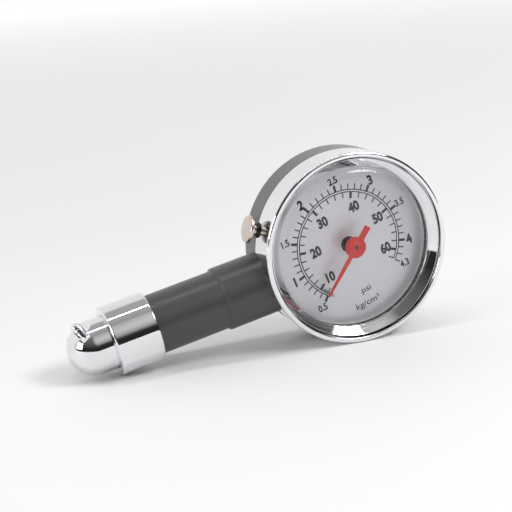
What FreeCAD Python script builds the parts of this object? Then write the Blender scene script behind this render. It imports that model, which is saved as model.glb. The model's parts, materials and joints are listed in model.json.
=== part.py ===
import FreeCAD, Part
import math, os
from FreeCAD import Vector

# Dial tyre pressure gauge, millimetres.
# Drawn with the case axis along Y, its back at y = 0 and the dial facing -Y,
# the stem pointing along -X. Everything is then turned about the case axis so
# that the gauge stands on its rim and its chuck.

# case and window
case_radius = 24.7
rim_radius = case_radius + 0.3
rim_roll = 0.75
rim_front = 18.2
floor_thickness = 1.4
border_depth = 8.8
dial_depth = 12.0
dial_thickness = 0.5
lip_depth = 15.6
lip_radius = case_radius - 3.65
spigot_outer = case_radius - 1.15
spigot_inner = case_radius - 2.3
shell_inner = case_radius - 1.05
seat_gap = 0.05
lens_thickness = 1.1
lens_front = 18.6
lens_crown = 0.7
gasket_thickness = 0.6
dial_hole_radius = 2.1

# stem, grip and chuck
stem_depth = 8.33
stem_drop = 2.76
grip_radius = 7.7
grip_root_radius = 8.3
grip_root_length = 11.9
grip_length = 36.3
tube_radius = 4.0
tube_thread_radius = 2.5
head_thread_radius = 3.5
tube_bore = 1.0
chamber_bore = 2.3
collar_radius = 9.07
collar_length = 11.55
collar_overlap = 5.75
collar_edge = 0.4
head_radius = 7.0
head_reach = 4.0
head_passage = 1.2
port_radius = 4.15
port_pocket_radius = 4.5
port_pocket_depth = 1.4
port_mouth = 5.6
port_chamfer = 0.3
facet_height = 5.69
facet_lean = 26.3
slot_width = 2.4
slot_depth = 1.0
nib_radius = 1.5

# Bourdon tube and movement
bourdon_radius = case_radius - 6.5
bourdon_width = 6.0
bourdon_thickness = 1.6
bourdon_wall = 0.3
bourdon_depth = 6.6
bourdon_start = 142.0
bourdon_arc = 259.0
pinion_teeth = 10
sector_teeth = 85
centre_distance = 0.783 * bourdon_radius
sector_angle = 225.0
tail_length = 0.1813 * bourdon_radius
pointer_sweep = 262.0
pointer_rest = 223.1
pointer_tail = 6.2
pointer_tail_half = 0.85
pointer_thickness = 0.4
hub_radius = 2.8
hub_boss_radius = 1.3
stop_radius = 0.5
stop_share = 0.94
front_plate_depth = 9.4
back_plate_depth = 3.9
front_plate_thickness = 0.8
back_plate_thickness = 1.0
pivot_radius = 0.5
arbor_radius = 0.75
pin_radius = 0.5
rivet_radius = 0.85
pinion_front = 8.2
pinion_back = 6.2
sector_front = 7.6
sector_back = 6.8
link_front = 6.3
link_back = 5.8
rivet_front = 5.7
rivet_back = 5.35
tip_arm_front = 9.0
tip_hub_radius = 1.1
running_fit = 0.05
loose_fit = 0.1
pillar_radius = 0.9
screw_radius = 0.35
foot_radius = 0.6

# bleed valve
bleed_depth = 9.0
bleed_angle = 152.8
bush_radius = 2.0
bush_inner = case_radius - 7.9
bush_guide = 1.8
bush_end = case_radius + 0.4
chamber_inner = case_radius - 11.1
button_neck = 1.4
button_radius = 3.6
button_thickness = 1.5
button_face = case_radius + 3.3
plunger_radius = 0.8
bleed_seal_length = 1.1

# worked out from the sizes above
module = 2 * centre_distance / (pinion_teeth + sector_teeth)
pinion_radius = module * pinion_teeth / 2
sector_radius = module * sector_teeth / 2
sector_swing = pointer_sweep * pinion_teeth / sector_teeth
grip_end = case_radius + grip_length
collar_start = grip_end - collar_overlap
collar_end = collar_start + collar_length
head_centre = collar_end + head_reach
block_right = case_radius - 12.8
passage_x = case_radius - 10.8
contact_x = collar_end - collar_edge
contact_z = stem_drop + collar_radius
rest_tilt = (math.degrees(math.asin(rim_radius / math.hypot(contact_x, contact_z)))
             - math.degrees(math.atan2(contact_z, contact_x)))

along_y = Vector(0, 1, 0)
origin = Vector(0, 0, 0)


def polar(radius, degrees, centre=(0.0, 0.0)):
    a = math.radians(degrees)
    return (centre[0] + radius * math.cos(a), centre[1] + radius * math.sin(a))


def point(xz, depth):
    return Vector(xz[0], -depth, xz[1])


pivot = polar(centre_distance, sector_angle)
tail_rest = polar(tail_length, sector_angle - sector_swing / 2, pivot)
tail_mid = polar(tail_length, sector_angle, pivot)
link_length = math.sqrt((bourdon_radius - 0.2) ** 2 - math.hypot(*tail_mid) ** 2)
pull_angle = sector_angle + 90.0
tail_rise = tail_length * (1 - math.cos(math.radians(sector_swing / 2)))
tip_hole = polar(link_length, pull_angle, tail_rest)
tip_pin = polar(tail_rise / 2, sector_angle, tip_hole)
pillar_spots = [polar(7.0, sector_angle - 141, pivot), polar(7.0, sector_angle - 220, pivot),
                polar(5.2, 45.0)]
foot_spots = [polar(4.2, -20.0), polar(6.25, sector_angle - 170, pivot)]


def disc(radius, front, back, centre=(0.0, 0.0)):
    """Round piece between two depths, the larger depth nearer the dial."""
    return Part.makeCylinder(radius, front - back, point(centre, front), along_y)


def ring(outer, inner, front, back, centre=(0.0, 0.0)):
    return disc(outer, front, back, centre).cut(disc(inner, front + 1, back - 1, centre))


def plate(points, front, back):
    wire = Part.makePolygon([point(p, front) for p in points] + [point(points[0], front)])
    return Part.Face(wire).extrude(Vector(0, front - back, 0))


def strap(a, b, radius, front, back):
    """Flat bar with round ends from a to b."""
    side = math.degrees(math.atan2(b[1] - a[1], b[0] - a[0])) + 90
    corners = [polar(radius, side, a), polar(radius, side, b),
               polar(-radius, side, b), polar(-radius, side, a)]
    return plate(corners, front, back).fuse([disc(radius, front, back, a),
                                             disc(radius, front, back, b)])


def turned(profile):
    """Solid of revolution about the case axis from (radius, depth) points."""
    wire = Part.makePolygon([Vector(r, -d, 0) for r, d in profile + profile[:1]])
    return Part.Face(wire).revolve(origin, along_y, 360)


def stem_rod(radius, near, far):
    """Round piece along the stem between two distances from the case axis."""
    return Part.makeCylinder(radius, far - near, Vector(-near, -stem_depth, -stem_drop),
                             Vector(-1, 0, 0))


def stem_ring(outer, inner, near, far):
    return stem_rod(outer, near, far).cut(stem_rod(inner, near - 1, far + 1))


def bleed_direction():
    x, z = polar(1.0, bleed_angle)
    return Vector(x, 0, z)


def bleed_rod(radius, near, far):
    base = bleed_direction() * near + Vector(0, -bleed_depth, 0)
    return Part.makeCylinder(radius, far - near, base, bleed_direction())


def bleed_ring(outer, inner, near, far):
    return bleed_rod(outer, near, far).cut(bleed_rod(inner, near - 1, far + 1))


def head_point():
    return Vector(-head_centre, -stem_depth, -stem_drop)


def port_direction():
    return Vector(-0.26, 0.93, -0.26).normalize()


def port_rod(radius, near, far):
    return Part.makeCylinder(radius, far - near, head_point() + port_direction() * near,
                             port_direction())


def coil(mean_radius, wire_radius, length, turns, base, direction):
    """Round-wire spring of the given length, standing on base."""
    rise = length - 2 * wire_radius
    helix = Part.makeHelix(rise / turns, rise, mean_radius)
    section = Part.Wire(Part.makeCircle(wire_radius, Vector(mean_radius, 0, 0), along_y))
    spring = Part.Wire(helix).makePipeShell([section], True, True)
    spring.translate(Vector(0, 0, wire_radius))
    spring.Placement = FreeCAD.Placement(base, FreeCAD.Rotation(Vector(0, 0, 1), direction)) \
        .multiply(spring.Placement)
    return spring


def tooth(pitch_radius, degrees, centre, front, back):
    pitch = math.pi * module
    root, tip = pitch_radius - 1.3 * module, pitch_radius + 0.75 * module
    half = [(root, 0.235 * pitch), (pitch_radius, 0.19 * pitch), (tip, 0.075 * pitch)]
    outline = [(r, w) for r, w in half] + [(r, -w) for r, w in reversed(half)]
    corners = [polar(math.hypot(r, w), degrees + math.degrees(math.atan2(w, r)), centre)
               for r, w in outline]
    return plate(corners, front, back)


def stem_hole():
    return stem_rod(tube_thread_radius + seat_gap, 0, 40)


def rear_housing():
    body = turned([(0, 0), (case_radius - 1.6, 0), (case_radius - 0.55, 0.35),
                   (case_radius - 0.1, 1.2), (case_radius, 2.4), (case_radius, border_depth),
                   (spigot_outer, border_depth), (spigot_outer, dial_depth - dial_thickness),
                   (spigot_inner, dial_depth - dial_thickness), (spigot_inner, border_depth),
                   (case_radius - 1.5, border_depth - 0.8), (case_radius - 1.5, floor_thickness),
                   (0, floor_thickness)])
    body = body.cut([stem_hole(), bleed_rod(bush_radius + seat_gap, 10, 40)])
    for spot in socket_screw_spots():
        body = body.cut(disc(1.3, 5, -1, spot).fuse(screw_head_cone(spot, 0.05)))
    return body


def front_shell():
    wall = ring(case_radius, shell_inner, rim_front - rim_roll, border_depth)
    roll = Part.makeTorus(rim_radius - rim_roll, rim_roll, Vector(0, rim_roll - rim_front, 0), along_y)
    shell = wall.fuse(roll).cut(disc(shell_inner, rim_front + 1, border_depth - 1))
    return shell.cut([stem_hole(), bleed_rod(bush_radius + seat_gap, 10, 40)])


def bezel_ring():
    outer = shell_inner - seat_gap
    return turned([(lip_radius, lip_depth - 0.6), (lip_radius, lip_depth),
                   (lip_radius + 0.15, lip_depth + 0.15), (outer - 0.35, rim_front - 0.85),
                   (outer, rim_front - 0.95), (outer, lip_depth - 1.6), (outer - 0.6, lip_depth - 1.6),
                   (outer - 0.6, lip_depth - 0.6)])


def crown(radius, height, apex):
    """Arc from the axis out to the given radius, centred on the axis."""
    sphere = (radius ** 2 + height ** 2) / (2 * height)
    half = math.asin(radius / sphere) / 2
    middle = Vector(sphere * math.sin(half), sphere * (1 - math.cos(half)) - apex, 0)
    return Part.Arc(Vector(0, -apex, 0), middle, Vector(radius, height - apex, 0)).toShape()


def lens():
    flange = shell_inner - 0.75
    dome = lip_radius - 0.15
    seat = lip_depth - 0.6
    back = seat - lens_thickness
    inner_front = lens_front - lens_thickness
    edge_outer, edge_inner = dome - 1.5, dome - 2.3
    corners = [Vector(edge_outer, lens_crown - lens_front, 0), Vector(dome - 0.35, 1.4 - lens_front, 0),
               Vector(dome, 2.2 - lens_front, 0), Vector(dome, -seat, 0), Vector(flange, -seat, 0),
               Vector(flange, -back, 0), Vector(dome - 1.1, -back, 0), Vector(dome - 1.1, -seat - 0.5, 0),
               Vector(edge_inner, lens_crown - inner_front, 0)]
    edges = [crown(edge_outer, lens_crown, lens_front), crown(edge_inner, lens_crown, inner_front),
             Part.makeLine(Vector(0, -lens_front, 0), Vector(0, -inner_front, 0))]
    edges += [Part.makeLine(a, b) for a, b in zip(corners, corners[1:])]
    wire = Part.Wire(Part.__sortEdges__(edges))
    return Part.Face(wire).revolve(origin, along_y, 360)


def lens_gasket():
    back = lip_depth - 0.6 - lens_thickness - gasket_thickness
    return ring(shell_inner - 0.75, lip_radius + 0.1, back + gasket_thickness, back)


def dial_spacer():
    front = lip_depth - 0.6 - lens_thickness - gasket_thickness
    return ring(shell_inner - 0.25, lip_radius, front, dial_depth)


def dial_plate():
    return ring(spigot_outer - 0.3, dial_hole_radius, dial_depth, dial_depth - dial_thickness)


def stop_spot():
    reach = stop_share * pointer_length()
    clear = stop_radius + pointer_half_width(reach) + 0.03
    return polar(reach, pointer_rest + math.degrees(math.asin(clear / reach)))


def stop_pin():
    return disc(stop_radius, pointer_depth() + 0.5, dial_depth, stop_spot())


def pointer_depth():
    return lens_front - lens_thickness - 1.0


def pointer_length():
    return 0.587 * case_radius


def pointer_half_width(reach):
    return 0.66 - 0.36 * reach / pointer_length()


def pointer():
    top = pointer_depth() + pointer_thickness
    base = pointer_depth()
    tip = pointer_length()
    outline = [(-pointer_tail, pointer_tail_half), (-1.0, pointer_tail_half), (0, pointer_half_width(0)),
               (tip - 0.5, pointer_half_width(tip)), (tip, 0.1)]
    outline += [(x, -y) for x, y in reversed(outline)]
    corners = [polar(math.hypot(x, y), pointer_rest + math.degrees(math.atan2(y, x))) for x, y in outline]
    body = plate(corners, top, base).fuse([disc(hub_radius, top + 0.15, base - 0.5),
                                           disc(hub_boss_radius, base, base - 1.8)])
    return body.cut(disc(pivot_radius, 30, 0)).removeSplitter()


def pinion_arbor():
    """Pinion, arbor and pointer spindle in one turned piece."""
    middle = disc(arbor_radius, front_plate_depth + 1.5, back_plate_depth + back_plate_thickness + 0.1)
    lower = disc(pivot_radius, back_plate_depth + 1.5, back_plate_depth - 0.2)
    spindle = disc(pivot_radius, pointer_depth() + 0.6, front_plate_depth)
    blank = disc(pinion_radius - 1.2 * module, pinion_front, pinion_back)
    teeth = [tooth(pinion_radius, sector_angle + (k + 0.5) * 360 / pinion_teeth, (0, 0),
                   pinion_front, pinion_back) for k in range(pinion_teeth)]
    return middle.fuse([lower, spindle, blank] + teeth).removeSplitter()


def sector_gear():
    front, back = sector_front, sector_back
    step = 360.0 / sector_teeth
    mesh = sector_angle - 180
    first, last = mesh - 9 * step, mesh + 2 * step
    middle = mesh - sector_swing / 2
    wedge = plate([pivot] + [polar(3 * sector_radius, a, pivot)
                             for a in (first - step / 2, middle, last + step / 2)], front, back)
    rim = ring(sector_radius - 1.2 * module, sector_radius - 1.2 * module - 1.4, front, back, pivot)
    arm = strap(pivot, polar(sector_radius - 1.2 * module - 0.9, middle, pivot), 1.1, front, back)
    arm = arm.cut(strap(polar(3.6, middle, pivot), polar(sector_radius - 4.0, middle, pivot),
                        0.45, front + 1, back - 1))
    tail = strap(pivot, tail_rest, 1.1, front, back)
    body = arm.fuse([rim.common(wedge), tail, disc(2.0, front, back, pivot)])
    body = body.fuse([tooth(sector_radius, mesh + k * step, pivot, front, back) for k in range(-9, 3)])
    return body.cut([disc(arbor_radius, front + 1, back - 1, pivot),
                     disc(pin_radius, front + 1, back - 1, tail_rest)]).removeSplitter()


def sector_arbor():
    foot = back_plate_depth + back_plate_thickness + 0.1
    middle = disc(arbor_radius, front_plate_depth - 0.1, foot, pivot)
    return middle.fuse(disc(pivot_radius, front_plate_depth + front_plate_thickness + 0.1,
                            back_plate_depth - 0.2, pivot)).removeSplitter()


def link():
    front, back = link_front, link_back
    bar = strap(tail_rest, tip_hole, 0.95, front, back)
    return bar.cut([disc(pin_radius + running_fit, 9, 0, tail_rest),
                    disc(pin_radius + loose_fit, 9, 0, tip_hole)])


def link_pin():
    rivet = disc(rivet_radius, rivet_front, rivet_back, tail_rest)
    return disc(pin_radius, sector_front, rivet_back, tail_rest).fuse(rivet).removeSplitter()


def stadium(radial, height):
    """Flat-oval outline in the XY plane at the tube's radius."""
    end = radial / 2
    low, high = -bourdon_depth - height / 2 + end, -bourdon_depth + height / 2 - end
    left, right = bourdon_radius - end, bourdon_radius + end
    edges = [Part.makeLine(Vector(right, low, 0), Vector(right, high, 0)),
             Part.Arc(Vector(right, high, 0), Vector(bourdon_radius, high + end, 0),
                      Vector(left, high, 0)).toShape(),
             Part.makeLine(Vector(left, high, 0), Vector(left, low, 0)),
             Part.Arc(Vector(left, low, 0), Vector(bourdon_radius, low - end, 0),
                      Vector(right, low, 0)).toShape()]
    return Part.Face(Part.Wire(edges))


def swept(face, start, arc):
    face.rotate(origin, along_y, -start)
    return face.revolve(origin, along_y, arc)


def bourdon_tube():
    skin = stadium(bourdon_thickness, bourdon_width)
    hollow = stadium(bourdon_thickness - 2 * bourdon_wall, bourdon_width - 2 * bourdon_wall)
    return swept(skin.cut(hollow).Faces[0], bourdon_start, bourdon_arc)


def tube_end_piece():
    end = bourdon_start - bourdon_arc
    plug = swept(stadium(bourdon_thickness - 2 * bourdon_wall - 0.04,
                         bourdon_width - 2 * bourdon_wall - 0.04), end + 3.0, 3.02)
    cap = swept(stadium(bourdon_thickness, bourdon_width), end, 1.2)
    near = polar(bourdon_radius, end - 1.0)
    arm = strap(near, tip_pin, 0.8, tip_arm_front, bourdon_depth)
    arm = arm.fuse([disc(tip_hub_radius, tip_arm_front, bourdon_depth, tip_pin),
                    disc(pin_radius, tip_arm_front, rivet_back, tip_pin),
                    disc(rivet_radius, rivet_front, rivet_back, tip_pin)])
    arm = arm.cut(swept(stadium(bourdon_thickness + 1.2, bourdon_width + 1), end + 8, 8))
    return arm.fuse([plug, cap]).removeSplitter()


def socket_screw_spots():
    return [(-block_right - 4.1, -3.5), (-block_right - 5.6, 6.5)]


def screw_head_cone(spot, grow):
    return Part.makeCone(2.3 + grow, 1.2, 1.1, point(spot, 0), Vector(0, -1, 0))


def socket_screws():
    screws = [disc(1.2, floor_thickness + 3.2, 0.5, spot).fuse(screw_head_cone(spot, 0))
              .cut(plate([(spot[0] - 3, spot[1] - 0.3), (spot[0] + 3, spot[1] - 0.3),
                          (spot[0] + 3, spot[1] + 0.3), (spot[0] - 3, spot[1] + 0.3)], 0.5, -1))
              for spot in socket_screw_spots()]
    return Part.makeCompound(screws)


def socket_block():
    """Brass block joining the stem, the Bourdon tube and the bleed valve."""
    front, back = dial_depth - dial_thickness - 0.1, floor_thickness + seat_gap
    right, bottom = -block_right, -stem_drop - 4.04
    outline = [(right, bottom + 2), (right - 2, bottom), (-case_radius, bottom),
               polar(1.1 * case_radius, 150), polar(1.1 * case_radius, 133),
               polar(bourdon_radius - 2.3, 131), (right + 2.2, 8.2), (right, 3.5)]
    body = plate(outline, front, back).common(disc(spigot_inner - 0.6, front + 1, back - 1))
    foot = strap((right - 1, -3.0), foot_spots[1], 2.1, 2.7, back)
    foot = foot.fuse(strap(foot_spots[1], foot_spots[0], 2.1, 2.7, back))
    bosses = [disc(1.6, back_plate_depth, 2.0, spot) for spot in foot_spots]
    body = body.fuse([foot] + bosses).removeSplitter()
    passage = Part.makeCylinder(0.9, 40, Vector(-passage_x, -stem_depth, -stem_drop), Vector(0, 0, 1)) \
        .common(disc(bourdon_radius + 0.3, 20, 0))
    slot = swept(stadium(bourdon_thickness + 0.04, bourdon_width + 0.04), bourdon_start, 20)
    cuts = [stem_rod(tube_thread_radius, block_right + 1.0, 40), passage, slot,
            bleed_rod(bush_radius, chamber_inner, 40)]
    cuts += [disc(foot_radius, back_plate_depth + 1, 2.6, spot) for spot in foot_spots]
    cuts += [disc(1.2, floor_thickness + 3.4, 0, spot) for spot in socket_screw_spots()]
    return body.cut(cuts)


def movement_outline(front, back):
    base = plate([pivot, pillar_spots[0], (0, 0), pillar_spots[1]], front, back)
    runs = [(pivot, pillar_spots[0], 1.2), (pivot, pillar_spots[1], 1.6), (pillar_spots[0], (0, 0), 1.2),
            (pillar_spots[1], (0, 0), 1.6), ((0, 0), pillar_spots[2], 2.0)]
    bars = [strap(start, end, half, front, back) for start, end, half in runs]
    return base.fuse(bars + [disc(2.0, front, back, pivot), disc(2.6, front, back)])


def movement_back_plate():
    front, back = back_plate_depth + back_plate_thickness, back_plate_depth
    foot = strap((0, 0), foot_spots[0], 1.9, front, back)
    body = movement_outline(front, back).fuse(foot).removeSplitter()
    holes = [disc(pivot_radius + running_fit, 9, 0), disc(pivot_radius + running_fit, 9, 0, pivot)]
    holes += [disc(foot_radius, 9, 0, spot) for spot in foot_spots + pillar_spots]
    return body.cut(holes)


def movement_front_plate():
    front, back = front_plate_depth + front_plate_thickness, front_plate_depth
    body = movement_outline(front, back).fuse(disc(4.0, front, back)).removeSplitter()
    holes = [disc(arbor_radius + running_fit, 12, 0), disc(pivot_radius + running_fit, 12, 0, pivot),
             disc(screw_radius, 12, 0, stud_spot())]
    holes += [disc(foot_radius, 12, 0, spot) for spot in pillar_spots]
    return body.cut(holes)


def plate_pillars():
    posts = []
    for spot in pillar_spots:
        post = disc(pillar_radius, front_plate_depth, back_plate_depth + back_plate_thickness, spot)
        post = post.fuse(disc(foot_radius, front_plate_depth, back_plate_depth, spot))
        bore = disc(screw_radius, front_plate_depth + 1, front_plate_depth - 2, spot)
        posts.append(post.cut(bore).removeSplitter())
    return Part.makeCompound(posts)


def slotted_head(radius, front, back, spot):
    head = disc(radius, front, back, spot)
    groove = plate([(spot[0] - 3, spot[1] - 0.15), (spot[0] + 3, spot[1] - 0.15),
                    (spot[0] + 3, spot[1] + 0.15), (spot[0] - 3, spot[1] + 0.15)], front + 1, front - 0.25)
    return head.cut(groove)


def pillar_screws():
    face = front_plate_depth + front_plate_thickness
    screws = []
    for spot in pillar_spots:
        shank = disc(screw_radius, face, front_plate_depth - 1.8, spot)
        screws.append(slotted_head(1.0, face + 0.6, face, spot).fuse(shank).removeSplitter())
    return Part.makeCompound(screws)


def movement_screws():
    face = back_plate_depth + back_plate_thickness
    screws = []
    for spot in foot_spots:
        shank = disc(foot_radius, face, 2.8, spot)
        screws.append(slotted_head(1.1, face + 0.7, face, spot).fuse(shank).removeSplitter())
    return Part.makeCompound(screws)


def stud_spot():
    return polar(3.3, -60.0)


def hairspring_stud():
    return disc(screw_radius, front_plate_depth + front_plate_thickness, 8.6, stud_spot())


def hairspring_collet():
    return ring(1.15, arbor_radius, 9.3, 8.4)


def hairspring():
    """Flat spiral from the collet to the stud."""
    front, back, turns, steps = 9.1, 8.7, 3.25, 78
    inner, outer, half = 1.2, 2.9, 0.05
    last = -60.0
    inside, outside = [], []
    for k in range(steps + 1):
        share = k / steps
        radius = inner + (outer - inner) * share
        angle = last - 360 * turns * (1 - share)
        inside.append(polar(radius - half, angle))
        outside.append(polar(radius + half, angle))
    return plate(inside + outside[::-1], front, back)


def stem_tube():
    """Turned brass tube from the chuck to the socket block."""
    body = stem_rod(tube_radius, case_radius + 1.3, grip_end - 1.0)
    body = body.fuse([stem_rod(tube_thread_radius, block_right + 3.0, case_radius + 2),
                      stem_rod(head_thread_radius, grip_end - 2, grip_end + 4.0)]).removeSplitter()
    return body.cut([stem_rod(tube_bore, 0, grip_end + 10),
                     stem_rod(chamber_bore, grip_end - 11.0, grip_end + 10)])


def stem_washer():
    return stem_ring(tube_radius, head_thread_radius, grip_end - 1.0, grip_end)


def grip_sleeve():
    body = stem_rod(grip_radius, case_radius - 6, grip_end)
    root = stem_rod(grip_root_radius, case_radius - 6, case_radius + grip_root_length)
    body = body.fuse(root.makeChamfer(0.4, [e for e in root.Edges if abs(e.BoundBox.XMin + case_radius
                                            + grip_root_length) < 0.01 and e.BoundBox.XLength < 0.01]))
    cuts = [disc(case_radius + 0.02, 30, -10), stem_rod(tube_thread_radius + seat_gap, 0, grip_end),
            stem_rod(tube_radius + seat_gap, case_radius + 1.3, grip_end + 1)]
    return body.cut(cuts).removeSplitter()


def chuck_collar():
    body = stem_rod(collar_radius, collar_start, collar_end)
    body = body.makeChamfer(collar_edge, [e for e in body.Edges if e.BoundBox.XLength < 0.01])
    return body.cut([stem_rod(grip_radius + seat_gap, collar_start - 1, grip_end),
                     stem_rod(head_radius + seat_gap, grip_end, collar_end + 1)])


def facet_normal():
    a = math.radians(90 + facet_lean)
    return Vector(math.cos(a), 0, math.sin(a))


def facet_side():
    return Vector(facet_normal().z, 0, -facet_normal().x)


def nib_base():
    return (head_point() + facet_normal() * (facet_height - slot_depth) + facet_side() * 0.3
            + along_y * 3.0)


def chuck_head():
    centre = head_point()
    body = stem_rod(head_radius, grip_end, head_centre).fuse(Part.makeSphere(head_radius, centre))
    up = FreeCAD.Rotation(Vector(0, 0, 1), facet_normal())
    above = Part.makeBox(30, 30, 10, Vector(-15, -15, 0))
    above.Placement = FreeCAD.Placement(centre + facet_normal() * facet_height, up)
    groove = Part.makeBox(slot_width, 30, 10, Vector(-slot_width / 2, -15, 0))
    groove.Placement = FreeCAD.Placement(centre + facet_normal() * (facet_height - slot_depth)
                                         + facet_side() * 0.3, up)
    near_tip = stem_rod(head_radius + 1, collar_end + 0.6, head_centre + 20)
    body = body.cut([above.common(near_tip), groove.common(near_tip),
                     Part.makeCylinder(nib_radius, 9, nib_base(), facet_normal())])
    mouth = Part.makeCone(port_radius, port_radius + port_chamfer, port_chamfer,
                          centre + port_direction() * (port_mouth - port_chamfer), port_direction())
    cuts = [port_rod(port_radius, 0, 9), port_rod(port_pocket_radius, 0, port_pocket_depth),
            port_rod(port_radius + 0.4, port_mouth, 9), mouth, port_rod(1.8, -2.1, 1),
            stem_rod(head_passage, grip_end + 1, head_centre),
            stem_rod(head_thread_radius, grip_end - 1, grip_end + 4.2)]
    return body.cut(cuts)


def deflator_nib():
    height = slot_depth + 0.3
    post = Part.makeCylinder(nib_radius, height, nib_base(), facet_normal())
    return post.fuse(Part.makeSphere(nib_radius, nib_base() + facet_normal() * height)
                     .common(Part.makeCylinder(nib_radius, 5, nib_base(), facet_normal()))).removeSplitter()


def port_seal():
    return port_rod(port_pocket_radius - seat_gap, 0.03, port_pocket_depth - 0.1).cut(port_rod(2.1, -1, 9))


def depressor_pin():
    """Centre pin on a foot with two flats that let the air past."""
    foot = port_rod(1.75, -1.9, -0.9)
    side = FreeCAD.Rotation(Vector(0, 0, 1), port_direction())
    strip = Part.makeBox(4, 2.0, 4, Vector(-2, -1.0, -2))
    strip.Placement = FreeCAD.Placement(head_point() - port_direction() * 1.4, side)
    return foot.common(strip).fuse(port_rod(0.6, -1.4, port_pocket_depth)).removeSplitter()


def check_valve_seat():
    return stem_ring(chamber_bore, 0.9, grip_end + 1.0, grip_end + 3.5)


def check_valve_seal():
    return stem_ring(1.7, 0.8, grip_end + 0.45, grip_end + 0.97)


def check_valve_poppet():
    body = stem_rod(chamber_bore - loose_fit, grip_end - 3.5, grip_end + 0.45)
    body = body.fuse([stem_rod(0.8, grip_end, grip_end + 1.6), stem_rod(1.0, grip_end - 5.0, grip_end - 3.0)])
    for turn in (0, 120, 240):
        flat = Part.makeBox(12, 6, 3, Vector(-grip_end - 4.5, -stem_depth - 3, 1.75 - stem_drop))
        flat.rotate(Vector(0, -stem_depth, -stem_drop), Vector(1, 0, 0), turn)
        body = body.cut(flat)
    return body.removeSplitter()


def check_valve_spring():
    return coil(1.4, 0.18, 7.4, 6, Vector(-grip_end + 10.95, -stem_depth, -stem_drop), Vector(-1, 0, 0))


def bleed_valve_body():
    body = bleed_rod(bush_radius, bush_inner, bush_end)
    return body.cut([bleed_rod(plunger_radius + running_fit, 0, 50),
                     bleed_rod(button_neck + running_fit, bush_inner + bush_guide, 50)])


def bleed_button():
    head = bleed_rod(button_radius, button_face - button_thickness, button_face)
    head = head.makeFillet(0.35, [e for e in head.Edges if e.Length > 10])
    neck = bleed_rod(button_neck, case_radius - 1.0, button_face - button_thickness + 0.2)
    return head.fuse(neck).cut(bleed_rod(plunger_radius, 0, case_radius + 1.2)).removeSplitter()


def bleed_plunger():
    return bleed_rod(plunger_radius, bush_inner - 1.7, case_radius + 1.15).fuse(
        bleed_rod(1.3, bush_inner - 1.7, bush_inner - bleed_seal_length)).removeSplitter()


def bleed_seal():
    return bleed_ring(1.6, plunger_radius, bush_inner - bleed_seal_length, bush_inner - 0.03)


def bleed_spring():
    start = bush_inner + bush_guide + 0.02
    return coil(1.15, 0.15, case_radius - 1.02 - start, 6,
                bleed_direction() * start + Vector(0, -bleed_depth, 0), bleed_direction())


nodes = [rear_housing, front_shell, bezel_ring, lens, lens_gasket, dial_spacer, dial_plate, stop_pin,
         pointer, pinion_arbor, hairspring, hairspring_collet, hairspring_stud, movement_front_plate,
         movement_back_plate, plate_pillars, pillar_screws, movement_screws, sector_gear, sector_arbor,
         link, link_pin, tube_end_piece, bourdon_tube, socket_block, socket_screws, stem_tube,
         stem_washer, grip_sleeve, chuck_collar, chuck_head, port_seal, depressor_pin, deflator_nib,
         check_valve_seat, check_valve_seal, check_valve_poppet, check_valve_spring,
         bleed_valve_body, bleed_button, bleed_plunger, bleed_seal, bleed_spring]

os.makedirs("parts", exist_ok=True)
for make in nodes:
    shape = make()
    shape.rotate(origin, along_y, -rest_tilt)
    shape.exportStep("parts/" + make.__name__ + ".step")
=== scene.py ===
import json
import math
import bpy
import bmesh
from mathutils import Matrix, Vector


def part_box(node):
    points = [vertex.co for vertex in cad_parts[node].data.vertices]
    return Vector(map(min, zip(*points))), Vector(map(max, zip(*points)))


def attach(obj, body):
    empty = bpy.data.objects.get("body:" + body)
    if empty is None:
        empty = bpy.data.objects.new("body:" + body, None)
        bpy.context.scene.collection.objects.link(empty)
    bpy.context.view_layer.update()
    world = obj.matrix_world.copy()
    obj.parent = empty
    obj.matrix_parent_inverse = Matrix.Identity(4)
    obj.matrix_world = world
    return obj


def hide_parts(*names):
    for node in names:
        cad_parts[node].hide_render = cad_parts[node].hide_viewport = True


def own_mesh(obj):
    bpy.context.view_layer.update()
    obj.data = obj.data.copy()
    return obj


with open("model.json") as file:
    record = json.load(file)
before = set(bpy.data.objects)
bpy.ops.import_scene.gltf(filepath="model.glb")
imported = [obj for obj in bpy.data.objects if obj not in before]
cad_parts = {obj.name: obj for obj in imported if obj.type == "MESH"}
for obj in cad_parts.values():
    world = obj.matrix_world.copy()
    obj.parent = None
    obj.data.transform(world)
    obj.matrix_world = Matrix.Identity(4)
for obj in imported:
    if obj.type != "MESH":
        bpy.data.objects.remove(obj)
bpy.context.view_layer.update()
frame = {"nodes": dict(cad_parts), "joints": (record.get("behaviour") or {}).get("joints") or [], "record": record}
nodes = frame["nodes"]
joints = {j["name"]: j for j in frame["joints"]}
mm = 0.001


def boxCentre(node):
    low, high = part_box(node)
    return (Vector(low) + Vector(high)) / 2


def lowSide(node, axis):
    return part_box(node)[0][axis]


# directions and levels come from the frame
stemDir = -Vector(joints["check_valve_lift"]["axis"]).normalized()   # from the case to the chuck
stemUp = Vector((stemDir.z, 0, -stemDir.x))
bleedDir = -Vector(joints["bleed_button_press"]["axis"]).normalized()
portDir = Vector([m for m in frame["record"]["mounts"] if m["name"] == "valve_port"][0]["axis"])
stemPoint = boxCentre("check_valve_seat")
stemPoint = stemPoint - stemDir * stemPoint.dot(stemDir)
bleedPoint = boxCentre("bleed_seal")
bleedPoint = bleedPoint - bleedDir * bleedPoint.dot(bleedDir)


# middles of the two screws in the case back
def screwPlaces():
    low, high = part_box("socket_screws")
    corners = [v.co for v in nodes["socket_screws"].data.vertices]
    halfway = (low[2] + high[2]) / 2
    spots = []
    for group in ([c for c in corners if c.z > halfway], [c for c in corners if c.z <= halfway]):
        spots.append(Vector(((min(c.x for c in group) + max(c.x for c in group)) / 2, 0,
                             (min(c.z for c in group) + max(c.z for c in group)) / 2)))
    return spots


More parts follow.
